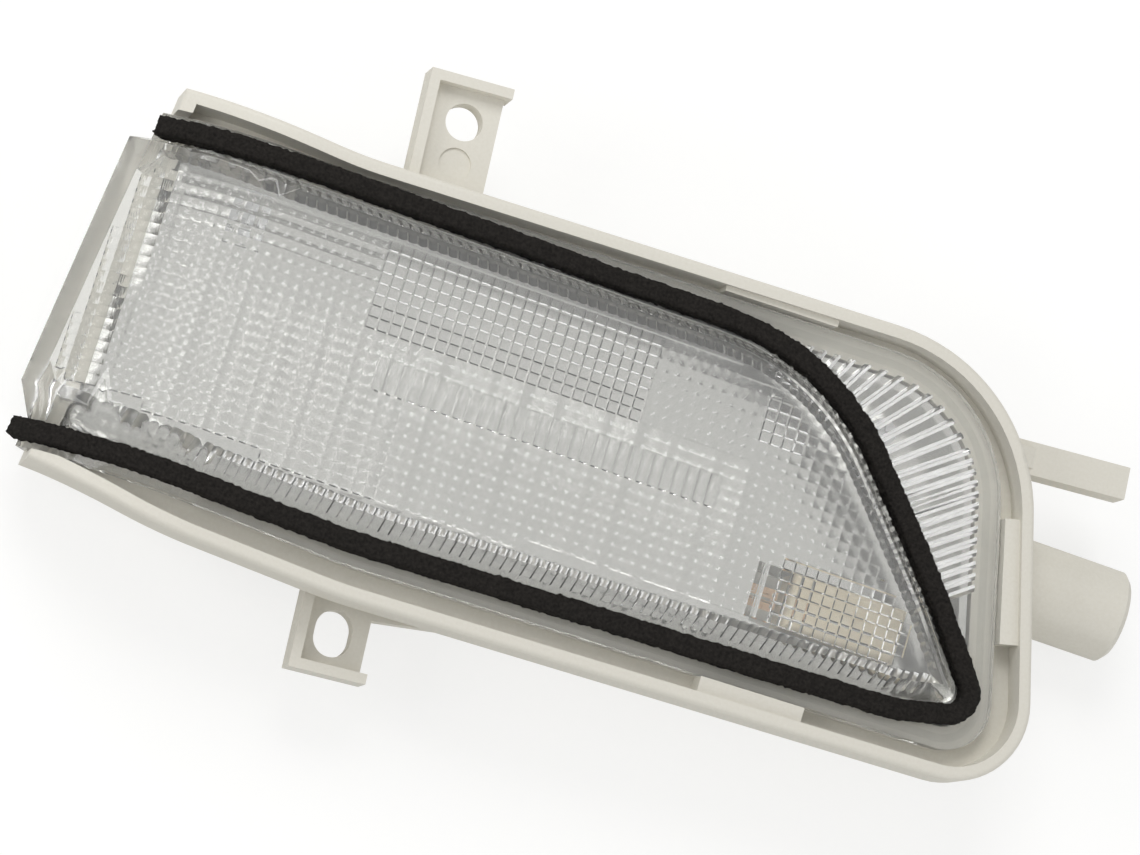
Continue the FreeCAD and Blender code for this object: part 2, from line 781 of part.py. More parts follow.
FLANK_TURN = ("atan( ( " + GASKET_TOP_Y + " - gasket_flank_y )"
              " / ( gasket_flank_x - gasket_shoulder_x ) )")
SHOULDER_X = "gasket_shoulder_x - gasket_shoulder_radius * tan( " + FLANK_TURN + " / 2 )"
SHOULDER_Y = GASKET_TOP_Y + " - gasket_shoulder_radius"


def make_flutes():
    """Square bars on edge that fan round the shoulder and stay side by side on the flank."""
    flutes = []
    for n in range(SHOULDER_FLUTES):
        yaw = "90 - flute_first_turn - %d * flute_turn" % n
        flutes.append(flute(n + 1, yaw, "0"))
    for n in range(1, FLANK_FLUTES + 1):
        flutes.append(flute(SHOULDER_FLUTES + n, yaw, "%d * flute_pitch" % n))
    return flutes


def flute(number_of, yaw, along):
    bar = doc.addObject("Part::Box", "flute_%d" % number_of)
    bind(bar, Length="flute_length", Width="flute_side", Height="flute_side")
    side = "flute_side / 2"
    level = "( " + along + " ) * cos( 45 )"
    return place(bar, SHOULDER_X, SHOULDER_Y, "seat_level", yaw, roll="45",
                 shift=("gasket_shoulder_radius - flute_reach_in",
                        "0 - " + side + " - " + level, "0 - " + side + " + " + level))


def make_lens():
    flange = layer("flange", prism("flange_prism", lens_plan), "seat_level", FLANGE_TOP)
    face = sloped("face", FACE_INSET, FACE_TOP)
    hollow = sloped("hollow", HOLLOW_INSET, FACE_TOP + " - lens_wall")
    hollow_trimmed = cut("lens_hollow", hollow, end_block("hollow_end", "lens_wall"))
    outer = cut("lens_outer", fuse("lens_block", flange, face), below("seat_level"))
    flutes = common("flutes", fuse("flute_bars", *make_flutes()),
                    prism("flute_field", offset("flute_plan", seat_plan, "0 - flute_end_inset")))
    return cut("lens", outer, hollow_trimmed, end_block("lens_end", "0"), flutes)


# Foam gasket round the raised face, and the bead of sealant under the flange

def make_gasket():
    outside = prism("gasket_outside", offset("gasket_outer_plan", gasket_path, "gasket_width / 2"))
    inside = prism("gasket_inside", offset("gasket_inner_plan", gasket_path, "0 - gasket_width / 2"))
    strip = layer("gasket_strip", cut("gasket_ring", outside, inside),
                  FLANGE_TOP, FLANGE_TOP + " + gasket_height")
    end = box("gasket_end", "block_reach", "block_reach", "block_reach", "0", "0", "0")
    place(end, "gasket_end_x", "0", "gasket_end_z", "gasket_end_yaw", "gasket_end_pitch",
          shift=("0 - block_reach", "0 - block_reach / 2", "0 - block_reach / 2"))
    return cut("gasket", strip, end)


def make_bead():
    outside = prism("bead_outside", offset("bead_outer_plan", seat_plan, "0 - bead_inset"))
    inside = prism("bead_inside", offset("bead_inner_plan", seat_plan, "0 - bead_inset - bead_width"))
    return layer("sealant_bead", cut("bead_ring", outside, inside),
                 "seat_level - bead_depth", "seat_level")


# Metallised reflector: a shallow dish with a stepped floor round the light bar

def dish(name, inset, start):
    plan = offset(name + "_plan", seat_plan, "0 - seat_width - reflector_clearance - " + inset)
    return prism(name, plan, start)


def make_reflector():
    outer = common("dish_block", dish("dish_outer", "0", "reflector_level"),
                   below("seat_level - reflector_rim_drop"))
    inner = dish("dish_inner", "reflector_wall", "reflector_level + reflector_wall")
    window = box("reflector_window",
                 "light_bar_x + light_bar_length - led_side_x + led_length / 2 + 2 * window_clearance",
                 "light_bar_width + 2 * window_clearance", "block_height",
                 "led_side_x - led_length / 2 - window_clearance",
                 "led_row_y - light_bar_width / 2 - window_clearance", "reflector_level / 2")
    holes = [post("reflector_hole_%d" % n, "screw_radius + board_hole_clearance", "block_height",
                  x, y, "reflector_level / 2")
             for n, (x, y) in enumerate(SCREWS["reflector"], start=1)]
    facets = []
    for n in range(FACETS):
        facet = wedge("facet_%d" % (n + 1), "facet_pitch", "facet_pitch - facet_flat", "facet_pitch",
                      "facet_rise + reflector_wall / 2", "facet_width")
        facets.append(place(facet, "facet_first_x + %d * facet_pitch" % n, "facet_y + facet_width / 2",
                            "reflector_level + reflector_wall / 2", roll="90"))
    shell = cut("dish", outer, inner)
    return cut("reflector", fuse("stepped_dish", shell, *facets), window, *holes)


# Circuit board, the parts on it, and the terminals

BOARD_TOP = "board_level + board_thickness"


def standing(name, length, width, height, x, y):
    return box(name, length, width, height, "%s - %s / 2" % (x, length), "%s - %s / 2" % (y, width),
               BOARD_TOP)


def make_light_bar():
    block = box("bar_block", "light_bar_length", "light_bar_width", "light_bar_height",
                "light_bar_x", "led_row_y - light_bar_width / 2", BOARD_TOP)
    bar = rounded("bar_rounded", block, at_z(BOARD_TOP + " + light_bar_height"), "light_bar_edge")
    pocket = box("bar_pocket", "light_bar_length - 2 * light_bar_wall",
                 "light_bar_width - 2 * light_bar_wall", "light_bar_height - light_bar_wall",
                 "light_bar_x + light_bar_wall", "led_row_y - light_bar_width / 2 + light_bar_wall",
                 BOARD_TOP)
    return cut("light_bar", bar, pocket)


def make_board():
    plate = box("board_plate", "board_length", "board_width", "board_thickness",
                "board_x", "board_y", "board_level")
    holes = [post("board_hole_%d" % n, "screw_radius + board_hole_clearance", "block_height", x, y, "0")
             for n, (x, y) in enumerate(SCREWS["board"], start=1)]
    side = "( pin_thickness + 2 * board_hole_clearance )"
    feet = [box("foot_hole_%d" % n, side, side, "block_height", "pin_foot_x - " + side + " / 2",
                "%s - %s / 2" % (y, side), "0") for n, y in enumerate(PINS, start=1)]
    return cut("circuit_board", plate, *(holes + feet))


def make_leds():
    spots = ["led_side_x"] + ["led_first_x + %d * led_pitch" % n for n in range(LEDS - 1)]
    leds = []
    for n, x in enumerate(spots, start=1):
        body = standing("led_%d_body" % n, "led_length", "led_width", "led_height", x, "led_row_y")
        eye = box("led_%d_eye" % n, "led_eye", "led_eye", "led_height", x + " - led_eye / 2",
                  "led_row_y - led_eye / 2", BOARD_TOP + " + led_height - led_eye_depth")
        leds.append(cut("led_%d" % n, body, eye))
    return leds


def make_board_parts():
    parts = [standing("resistor_%d" % (n + 1), "resistor_width", "resistor_length", "resistor_height",
                      "resistor_first_x + %d * resistor_pitch" % n, "part_row_y")
             for n in range(RESISTORS)]
    parts.append(standing("diode", "diode_length", "diode_width", "diode_height", "diode_x", "part_row_y"))
    parts.append(standing("capacitor", "capacitor_length", "capacitor_width", "capacitor_height",
                          "capacitor_x", "capacitor_y"))
    return parts


def make_terminals():
    """Blades that run out through the wall, with a foot down through the board."""
    terminals = []
    for n, y in enumerate(PINS, start=1):
        blade = box("blade_%d" % n, SEPTUM_END + " + pin_reach - pin_foot_x + pin_thickness / 2",
                    "pin_width", "pin_thickness", "pin_foot_x - pin_thickness / 2",
                    y + " - pin_width / 2", "tube_axis_z - pin_thickness / 2")
        tip = chamfered("blade_tip_%d" % n, blade, at_x(SEPTUM_END + " + pin_reach"), "pin_tip_edge")
        foot = box("foot_%d" % n, "pin_thickness", "pin_thickness",
                   "tube_axis_z - floor_wall - pin_foot_gap", "pin_foot_x - pin_thickness / 2",
                   y + " - pin_thickness / 2", "floor_wall + pin_foot_gap")
        terminals.append(fuse("terminal_%d" % n, tip, foot))
    return terminals


def make_potting():
    plug = rod_along_x("potting_plug", "potting_radius", "nose_top_x", "potting_end_x")
    return cut("terminal_potting", plug, cavity, *pin_ways("potting", "potting_end_x"))


def make_screws(kind):
    """Round headed screws, each through its plate into its pillar."""
    screws = []
    seat = SEATS[kind] + " + " + PLATES[kind]
    for n, (x, y) in enumerate(SCREWS[kind], start=1):
        name = "%s_screw_%d" % (kind, n)
        shank = post(name + "_shank", "screw_radius", seat + " - ( " + SCREW_ENDS[kind] + " )",
                     x, y, SCREW_ENDS[kind])
        head = post(name + "_head", "screw_head_radius", "screw_head_height", x, y, seat)
        slots = [box("%s_slot_%d" % (name, turn), "2 * screw_cross_reach", "screw_cross", "screw_cross",
                     "0", "0", "0") for turn in (0, 90)]
        for slot, turn in zip(slots, ("0", "90")):
            place(slot, x, y, seat + " + screw_head_height - screw_cross", yaw=turn,
                  shift=("0 - screw_cross_reach", "0 - screw_cross / 2", "0"))
        screws.append(cut(name, fuse(name + "_body", shank, head), *slots))
    return fuse(kind + "_screws", *screws)


def make_vent():
    return post("vent_membrane", "vent_radius - vent_film", "vent_film", "vent_x", "vent_y",
                "vent_recess - vent_film")


bead = make_bead()
nodes = [make_housing(), make_lens(), make_gasket(), bead, make_reflector(), make_light_bar(),
         make_board(), make_potting(), make_screws("board"), make_screws("reflector"), make_vent()]
nodes += make_leds() + make_board_parts() + make_terminals()
doc.recompute()
for thing in doc.Objects:
    if "Invalid" in thing.State or "Error" in thing.State:
        raise RuntimeError(thing.Name + " did not recompute")
os.makedirs("parts", exist_ok=True)
for thing in nodes:
    if thing.Shape.isNull() or not thing.Shape.isValid():
        raise RuntimeError(thing.Label + " has no sound shape")
    thing.Shape.exportStep("parts/" + thing.Label + ".step")
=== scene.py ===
# %% [markdown]
# A turn signal lamp for a door mirror, dressed for a render. The lamp is a slim
# tray of off-white plastic, closed by a clear lens that wraps round the end of
# the mirror. A cord of black foam runs round the raised face of the lens and
# seals it against the mirror cover. The solids come from the frame with their
# true sizes, so this script only adds finish, light and the fine optics.

# %% Load the frame
import math

import bmesh
import bpy
from mathutils import Matrix, Vector, noise


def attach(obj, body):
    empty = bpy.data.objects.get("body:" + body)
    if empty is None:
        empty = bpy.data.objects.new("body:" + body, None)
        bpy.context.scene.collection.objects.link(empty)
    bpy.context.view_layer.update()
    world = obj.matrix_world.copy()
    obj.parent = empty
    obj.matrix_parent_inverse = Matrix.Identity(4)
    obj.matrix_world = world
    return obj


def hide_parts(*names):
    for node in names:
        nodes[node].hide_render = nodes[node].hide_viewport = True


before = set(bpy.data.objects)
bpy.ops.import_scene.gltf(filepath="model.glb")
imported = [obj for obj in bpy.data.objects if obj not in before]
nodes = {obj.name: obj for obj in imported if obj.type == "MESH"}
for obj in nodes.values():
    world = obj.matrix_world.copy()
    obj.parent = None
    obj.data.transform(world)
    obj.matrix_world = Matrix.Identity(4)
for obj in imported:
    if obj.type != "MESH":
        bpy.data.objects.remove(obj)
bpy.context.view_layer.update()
print("nodes loaded:", len(nodes))

# %% [markdown]
# The frame is in metres and the lamp is drawn in millimetres, so one constant
# carries the step between them.

# %% Units and small helpers
MM = 0.001


def deselect_all():
    bpy.ops.object.select_all(action="DESELECT")


def linear(code):
    """Turn an sRGB hex colour into the linear values that shaders take."""
    parts = [int(code[i:i + 2], 16) / 255 for i in (1, 3, 5)]
    return [p / 12.92 if p <= 0.04045 else ((p + 0.055) / 1.055) ** 2.4 for p in parts] + [1.0]


def add_node(material, kind, inputs=None, **settings):
    """Add one shader node, set its options and sockets, and link what is a socket."""
    tree = material.node_tree
    made = tree.nodes.new(kind)
    for name, value in settings.items():
        setattr(made, name, value)
    for name, value in (inputs or {}).items():
        if isinstance(value, bpy.types.NodeSocket):
            tree.links.new(value, made.inputs[name])
        else:
            made.inputs[name].default_value = value
    return made


print("one millimetre is", MM, "m")

# %% [markdown]
# Camera. The photograph looks down on the lens from about sixteen degrees off
# its axis, with the lamp running down to the right. A long lens keeps its edges
# nearly parallel. The camera's axes are worked out from the direction it looks
# along and from its roll, so that no view has to be found by eye.

# %% Camera
LOOK_AT = Vector((0, 0, 20))
BACKWARD = Vector((-0.21, -0.20, 1)).normalized()
DISTANCE = 650
ROLL = math.radians(19.25)
SENSOR_WIDTH = 36
LENS_LENGTH = 143.7

along = (Vector((1, 0, 0)) - BACKWARD * BACKWARD.x).normalized()
across = BACKWARD.cross(along)
right = along * math.cos(ROLL) + across * math.sin(ROLL)
up = across * math.cos(ROLL) - along * math.sin(ROLL)
camera_data = bpy.data.cameras.new("camera")
camera_data.lens = LENS_LENGTH
camera_data.sensor_width = SENSOR_WIDTH
camera = bpy.data.objects.new("camera", camera_data)
camera.matrix_world = Matrix((
    (right.x, up.x, BACKWARD.x, 0),
    (right.y, up.y, BACKWARD.y, 0),
    (right.z, up.z, BACKWARD.z, 0),
    (0, 0, 0, 1)))
camera.location = (LOOK_AT + BACKWARD * DISTANCE) * MM
bpy.context.scene.collection.objects.link(camera)
bpy.context.scene.camera = camera
print("camera stands at", [round(v, 4) for v in camera.location])

# %% [markdown]
# Light. A product photograph is lit by large soft boxes, so three area lamps
# stand round the part: a broad one overhead, one from the left, and a weak one
# from the right that fills the shadows. The world gives a plain even light. To
# the camera, also through the clear lens, it is white.

# %% World
WORLD_LIGHT = 0.5
world = bpy.data.worlds.new("studio")
bpy.context.scene.world = world
world.use_nodes = True
world.node_tree.nodes.clear()
path = add_node(world, "ShaderNodeLightPath")
seen = add_node(world, "ShaderNodeMath", {
    0: path.outputs["Is Camera Ray"], 1: path.outputs["Is Transmission Ray"]}, operation="MAXIMUM")
soft_fill = add_node(world, "ShaderNodeBackground", {
    "Color": linear("#ffffff"), "Strength": WORLD_LIGHT})
white_sweep = add_node(world, "ShaderNodeBackground", {"Color": linear("#ffffff"), "Strength": 1.0})
chosen = add_node(world, "ShaderNodeMixShader", {0: seen.outputs[0], 1: soft_fill.outputs[0],
                                                 2: white_sweep.outputs[0]})
add_node(world, "ShaderNodeOutputWorld", {"Surface": chosen.outputs[0]})
print("world strength:", WORLD_LIGHT)


# %% Soft boxes
def soft_box(name, place, size, watts):
    """A square area lamp that stands at a place in millimetres and faces the part."""
    lamp = bpy.data.lights.new(name, "AREA")
    lamp.size = size * MM
    lamp.energy = watts
    made = bpy.data.objects.new(name, lamp)
    made.location = Vector(place) * MM
    made.rotation_euler = (LOOK_AT - Vector(place)).to_track_quat("-Z", "Y").to_euler()
    bpy.context.scene.collection.objects.link(made)


soft_box("overhead_box", (-180, 420, 520), 360, 1.9)
soft_box("left_box", (-520, -60, 330), 260, 0.7)
soft_box("fill_box", (420, -420, 300), 320, 0.8)
bpy.context.scene.view_settings.view_transform = "Standard"

# %% [markdown]
# Floor. The lamp lies on a plain white sheet. The sheet is a diffuse white that
# takes the shadow of the lamp. For the camera, also through the clear lens, it
# glows as well, so that it reads as the white ground of a catalogue picture.

# %% Floor
FLOOR_SIZE = 3000
FLOOR_DROP = 0.2
PAPER_GLOW = 0.68
deselect_all()
bpy.ops.mesh.primitive_plane_add(size=FLOOR_SIZE * MM, location=(0, 0, -FLOOR_DROP * MM))
floor = bpy.context.object
floor.name = "floor"
paper = bpy.data.materials.new("white_sweep_paper")
paper.use_nodes = True
paper.node_tree.nodes.clear()
rays = add_node(paper, "ShaderNodeLightPath")
matt = add_node(paper, "ShaderNodeBsdfDiffuse", {"Color": linear("#e6e6e4")})
shaded = add_node(paper, "ShaderNodeBsdfDiffuse", {"Color": linear("#a2a2a0")})
glow = add_node(paper, "ShaderNodeEmission", {
    "Color": linear("#ffffff"), "Strength": PAPER_GLOW})
both = add_node(paper, "ShaderNodeAddShader", {0: shaded.outputs[0], 1: glow.outputs[0]})
straight = add_node(paper, "ShaderNodeMath", {
    0: rays.outputs["Is Camera Ray"], 1: rays.outputs["Is Transmission Ray"]}, operation="MAXIMUM")
paper_mix = add_node(paper, "ShaderNodeMixShader", {0: straight.outputs[0],
                                                    1: matt.outputs[0], 2: both.outputs[0]})
add_node(paper, "ShaderNodeOutputMaterial", {"Surface": paper_mix.outputs[0]})
floor.data.materials.append(paper)
print("floor side:", FLOOR_SIZE, "mm")

# %% [markdown]
# Materials. Each is named for the real stuff and starts from its usual values,
# and then its colour and gloss were matched to the photograph. Most get a fine
# grain and two near colours, because no real surface is quite even. Each grain
# is worked out from a size in millimetres. One that is too fine for the render
# is drawn as coarse as it needs to show.


# %% Principled start
def plain_material(name, code, roughness, metallic=0.0, **sockets):
    """A material with a principled shader, its base colour and roughness set."""
    material = bpy.data.materials.new(name)
    material.use_nodes = True
    shader = material.node_tree.nodes["Principled BSDF"]
    shader.inputs["Base Color"].default_value = linear(code)
    shader.inputs["Roughness"].default_value = roughness
    shader.inputs["Metallic"].default_value = metallic
    for socket, value in sockets.items():
        shader.inputs[socket.replace("_", " ")].default_value = value
    return material, shader


def grain(material, shader, size_mm, height_mm):
    """A bump of one noise, its scale and height worked out from real sizes."""
    place = add_node(material, "ShaderNodeTexCoord")
    speckle = add_node(material, "ShaderNodeTexNoise", {
        "Vector": place.outputs["Object"], "Scale": 1 / (size_mm * MM), "Detail": 2.0})
    bump = add_node(material, "ShaderNodeBump",
                    {"Height": speckle.outputs[0], "Distance": height_mm * MM, "Strength": 1.0})
    material.node_tree.links.new(bump.outputs[0], shader.inputs["Normal"])
    return speckle


def tint(material, shader, speckle, low, high):
    """Vary the base colour softly between two near colours with the same noise.

    Sockets 0, 6 and 7 of the mix are its factor and its two colours.
    """
    mix = add_node(material, "ShaderNodeMix", {
        0: speckle.outputs[0], 6: linear(low), 7: linear(high)}, data_type="RGBA")
    material.node_tree.links.new(mix.outputs[2], shader.inputs["Base Color"])


print("helpers made: plain_material, grain, tint")


# %% [markdown]
# The housing is off-white ABS from a mould with a fine eroded grain. That gives
# the eye a soft, wide sheen without sharp reflections. The real grain is finer
# than the render shows, so it is drawn at half a millimetre.

# %% Housing plastic
abs_plastic, shader = plain_material("moulded_abs_off_white", "#dedace", 0.48)
tint(abs_plastic, shader, grain(abs_plastic, shader, 0.5, 0.02), "#dad6ca", "#e3e0d6")
print("housing material:", abs_plastic.name)

# %% [markdown]
# The lens is polished acrylic, clear and glossy, with the index of acrylic. A
# small part of the light is scattered instead of passed on. Without that, thick
# clear walls show black bands, where light would bounce inside them more often
# than the render follows. Its optics are modelled, so it needs no grain.

# %% Clear lens
acrylic, shader = plain_material(
    "clear_acrylic", "#fafaf8", 0.02, IOR=1.49, Transmission_Weight=0.91)
print("lens material:", acrylic.name)

# %% [markdown]
# The seal is closed-cell EPDM foam: black, dull and speckled where its cells are
# torn. It gets a strong grain and hardly any gloss.

# %% Foam
foam, shader = plain_material("epdm_foam", "#1c1b1a", 0.95, Specular_IOR_Level=0.15)
tint(foam, shader, grain(foam, shader, 0.45, 0.2), "#060606", "#35322f")
print("seal material:", foam.name)

# %% [markdown]
# Behind the lens lie the other finishes. The reflector is metallised plastic,
# which mirrors softly. The sealant is pale and waxy, and the bar over the LEDs is
# milky. The board is white epoxy with black and yellow moulded parts, and the
# LEDs are amber. The pins are tin plated and the screws zinc plated, both metals
# with a satin gloss. The vent film is matt.

# %% Inner parts
silver, shader = plain_material("vacuum_metallised_abs", "#d0d0ce", 0.16, 0.75)
grain(silver, shader, 0.8, 0.01)
sealant, shader = plain_material("butyl_sealant", "#d2cfc4", 0.5)
tint(sealant, shader, grain(sealant, shader, 1.2, 0.05), "#cbc8bc", "#d8d5cb")
milky, shader = plain_material("opal_polycarbonate", "#f3e6cb", 0.3)
tint(milky, shader, grain(milky, shader, 2.0, 0.01), "#f0dfbd", "#f7efdc")
board, shader = plain_material("glass_epoxy_board", "#e6e7e3", 0.4)
tint(board, shader, grain(board, shader, 0.6, 0.01), "#dfe1dc", "#ecedea")
led_amber, shader = plain_material("amber_led_epoxy", "#e6c3a0", 0.2)
tint(led_amber, shader, grain(led_amber, shader, 0.8, 0.01), "#e2b98f", "#ecceb0")
chip_black, shader = plain_material("moulded_epoxy_black", "#202020", 0.5)
tint(chip_black, shader, grain(chip_black, shader, 0.3, 0.01), "#1b1b1b", "#282828")
tantalum, shader = plain_material("moulded_epoxy_yellow", "#d9a13c", 0.45)
tint(tantalum, shader, grain(tantalum, shader, 0.3, 0.01), "#d19a37", "#e0aa48")
tin, shader = plain_material("tin_plated_brass", "#cfcac0", 0.28, 1.0)
grain(tin, shader, 0.3, 0.008)
zinc, shader = plain_material("zinc_plated_steel", "#c3c4c6", 0.32, 1.0)
grain(zinc, shader, 0.4, 0.01)
membrane, shader = plain_material("ptfe_membrane", "#ececea", 0.8)
tint(membrane, shader, grain(membrane, shader, 0.2, 0.01), "#e4e4e2", "#f2f2f0")
print("materials so far:", len(bpy.data.materials))

# %% [markdown]
# Every node of the frame keeps its own mesh and gets its material here. The lens
# and the seal are replaced further on by pieces that are modelled more finely.

# %% Give each node its material
FINISH = {
    "housing": abs_plastic, "lens": acrylic, "gasket": foam, "sealant_bead": sealant,
    "reflector": silver, "light_bar": milky, "circuit_board": board, "diode": chip_black,
    "capacitor": tantalum, "terminal_1": tin, "terminal_2": tin, "terminal_potting": sealant,
    "board_screws": zinc, "reflector_screws": zinc, "vent_membrane": membrane}
for i in range(1, 5):
    FINISH["led_%d" % i] = led_amber
    FINISH["resistor_%d" % i] = chip_black
for name, material in FINISH.items():
    nodes[name].data.materials.clear()
    nodes[name].data.materials.append(material)
print("finished nodes:", len(FINISH), "of", len(nodes))


# %% [markdown]
# The lens is the showpiece. On the real lamp its outside is smooth, and all of
# its optics are moulded on the inside: small pillows behind the face, upright
# flutes on the sloping walls. The outside already has its true shape in the
# frame, so a copy of it is kept, and only its inner skin is cut away and modelled
# afresh. The lens bends down round its left end, and working on a bend is
# awkward, so the copy is laid flat first and bent back when it is finished.

# %% Lay a copy of the lens flat
BEND_START = -48
BEND_AXIS_Z = -13.2
MERGE = 0.002


def laid_flat(spot):
    """A place in the bent lens, in millimetres, moved to the flat one."""
    x, y, z = spot
    if x < BEND_START:
        z = BEND_AXIS_Z + math.hypot(x - BEND_START, z - BEND_AXIS_Z)
    return Vector((x, y, z))


def bent(spot):
    """A place in the flat lens moved round the bend; its X and Y stay."""
    x, y, z = spot
    if x < BEND_START:
        z = BEND_AXIS_Z + math.sqrt((z - BEND_AXIS_Z) ** 2 - (x - BEND_START) ** 2)
    return Vector((x, y, z))


clear_lens = bpy.data.objects.new("clear_lens", nodes["lens"].data.copy())
bpy.context.scene.collection.objects.link(clear_lens)
clear_lens.data.transform(Matrix.Scale(1 / MM, 4))
for vertex in clear_lens.data.vertices:
    vertex.co = laid_flat(vertex.co)
deselect_all()
bpy.context.view_layer.objects.active = clear_lens
clear_lens.select_set(True)
bpy.ops.object.mode_set(mode="EDIT")
bpy.ops.mesh.select_all(action="SELECT")
bpy.ops.mesh.remove_doubles(threshold=MERGE)
bpy.ops.object.mode_set(mode="OBJECT")
print("flat lens:", len(clear_lens.data.polygons), "faces")

# %% [markdown]
# The inner skin is found by walking from face to face, from the flat ceiling of
# the hollow down its walls. It is cut through a little above the flange and
# removed, which leaves one open loop of edges.

# %% Cut the inner skin away
CEILING = 22.6
SKIRT_LEVEL = 18.75
LEVEL_SLACK = 0.03
FACING_DOWN = -0.9

bpy.ops.object.mode_set(mode="EDIT")
bpy.ops.mesh.select_all(action="DESELECT")
mesh = bmesh.from_edit_mesh(clear_lens.data)
ceiling = [f for f in mesh.faces if f.normal.z < FACING_DOWN
           and all(abs(v.co.z - CEILING) < LEVEL_SLACK for v in f.verts)]
ceiling_edges = [e for f in ceiling for e in f.edges]
rim_pairs = [(e.verts[0].co.xy, e.verts[1].co.xy) for e in ceiling_edges
             if sum(f in ceiling for f in e.link_faces) == 1]
inner = set(ceiling)
waiting = list(ceiling)
while waiting:
    for edge in waiting.pop().edges:
        for face in edge.link_faces:
            if face not in inner and max(v.co.z for v in face.verts) > SKIRT_LEVEL:
                inner.add(face)
                waiting.append(face)
for face in inner:
    face.select_set(True)
bmesh.update_edit_mesh(clear_lens.data)
bpy.ops.mesh.bisect(plane_co=(0, 0, SKIRT_LEVEL), plane_no=(0, 0, 1), clear_outer=True)
mesh = bmesh.from_edit_mesh(clear_lens.data)
open_edges = [e for e in mesh.edges if e.is_boundary]
print("inner faces removed:", len(inner), "open edges:", len(open_edges))

# %% [markdown]
# Side flutes. Each is an upright half round, about one and a half millimetres
# wide. The open loop is divided finely, and rows of points are raised from it
# to the edge of the ceiling. Each point is moved inwards by the height of the
# flute at its place along the loop. Towards a sharp corner the flutes grow flat,
# because two walls that meet there would otherwise cross. The wall at the far
# left end stays plain.

# %% Side flutes
FLUTE_PITCH = 1.53
FLUTE_STEPS = 6
FLUTE_DEPTH = 0.2
END_WALL_X = -66
WALL_ROWS = 5
CORNER_RUN = 4
CORNER_SHARE = 0.3
DIRECTION_REACH = 2

step = FLUTE_PITCH / FLUTE_STEPS
for edge in open_edges:
    pieces = round(edge.calc_length() / step)
    if pieces > 1:
        bmesh.ops.subdivide_edges(mesh, edges=[edge], cuts=pieces - 1)
open_edges = [e for e in mesh.edges if e.is_boundary]
loop = [open_edges[0].verts[0], open_edges[0].verts[1]]
while True:
    after = [e.other_vert(loop[-1]) for e in loop[-1].link_edges if e.is_boundary]
    after = [v for v in after if v is not loop[-2]][0]
    if after is loop[0]:
        break
    loop.append(after)


def nearest_on_rim(spot):
    """The nearest place on the outline of the ceiling, seen from above."""
    best = None
    for a, b in rim_pairs:
        run = b - a
        t = max(0.0, min(1.0, (spot - a).dot(run) / run.length_squared))
        there = a + run * t
        if best is None or (there - spot).length < (best - spot).length:
            best = there
    return best


area = sum(a.co.x * b.co.y - b.co.x * a.co.y for a, b in zip(loop, loop[1:] + loop[:1]))
turn = 1 if area > 0 else -1
rows = [loop]
feet = [v.co.copy() for v in loop]
heads = [nearest_on_rim(foot.xy) for foot in feet]
sharp = [head for k, head in enumerate(heads)
         if (heads[(k + CORNER_RUN) % len(heads)] - head).length < MERGE]
for row in range(1, WALL_ROWS + 1):
    share = row / WALL_ROWS
    points = []
    for k, foot in enumerate(feet):
        before, beyond = feet[k - DIRECTION_REACH], feet[(k + DIRECTION_REACH) % len(feet)]
        ahead = (beyond - before).xy.normalized()
        inward = Vector((-ahead.y, ahead.x)) * turn
        part = (k % FLUTE_STEPS) / FLUTE_STEPS
        bulge = FLUTE_DEPTH * (1 - (2 * part - 1) ** 2) if foot.x > END_WALL_X else 0.0
        bulge = min([bulge] + [CORNER_SHARE * (heads[k] - corner).length for corner in sharp])
        flat_spot = foot.xy.lerp(heads[k], share) + inward * bulge
        height = foot.z + (CEILING - foot.z) * share
        points.append(mesh.verts.new((flat_spot.x, flat_spot.y, height)))
    rows.append(points)
for low, high in zip(rows, rows[1:]):
    for k in range(len(loop)):
        after = (k + 1) % len(loop)
        corners = [low[k], low[after], high[after], high[k]]
        mesh.faces.new(corners)
fluted = sum(foot.x > END_WALL_X for foot in feet) // FLUTE_STEPS
print("flutes, without the plain end wall:", fluted)

# %% [markdown]
# Pillows. The ceiling is a grid of small cushions. One cushion is a patch of six
# by six faces with closer lines near its edges, so that the creases between
# neighbours stay crisp. There are five kinds: round ones that sparkle, softer
# ones of the same form, nearly flat ones with a steep border, flat ones with
# pitted corners, and upright ribs. Round the bend the columns keep their spacing
# along the surface. Each kind gives its depth below the ceiling in millimetres,
# at a place across and up the cushion that runs from 0 to 1.

# %% Pillow shapes
PILLOW_X = 1.75
PILLOW_Y = 1.65
CELL_LINES = (0.0, 0.13, 0.32, 0.5, 0.68, 0.87)
ROUND_DEPTH = 0.27
SOFT_DEPTH = 0.17
TILE_EDGE = 0.03
TILE_DEPTH = 0.15
TILE_BORDER = 0.13
PITTED_DEPTH = 0.16
RIB_DEPTH = 0.3


def dome(u, v):
    return 1 - ((2 * u - 1) ** 2 + (2 * v - 1) ** 2) / 2


def round_pillow(u, v):
    return ROUND_DEPTH * dome(u, v)


def soft_pillow(u, v):
    return SOFT_DEPTH * dome(u, v)


def tile(u, v):
    border = min(u, v, 1 - u, 1 - v)
    return TILE_EDGE + TILE_DEPTH * min(1.0, border / TILE_BORDER)


def pitted_tile(u, v):
    return PITTED_DEPTH - PITTED_DEPTH * (abs(2 * u - 1) * abs(2 * v - 1)) ** 2


def rib(u, v):
    return RIB_DEPTH * (1 - (2 * u - 1) ** 2)


FIELDS = [
    ((-33, 2.5, 8, 17.5), tile),
    ((35, -18, 58, -7.5), tile),
    ((26, 6, 34, 14), tile),
    ((8, 4, 26, 17), pitted_tile),
    ((-30, -4.5, 22, 0), rib),
    ((-24, -21, 60, 20), soft_pillow)]


def pillow_kind(x, y):
    for (low_x, low_y, high_x, high_y), kind in FIELDS:
        if low_x <= x < high_x and low_y <= y < high_y:
            return kind
    return round_pillow


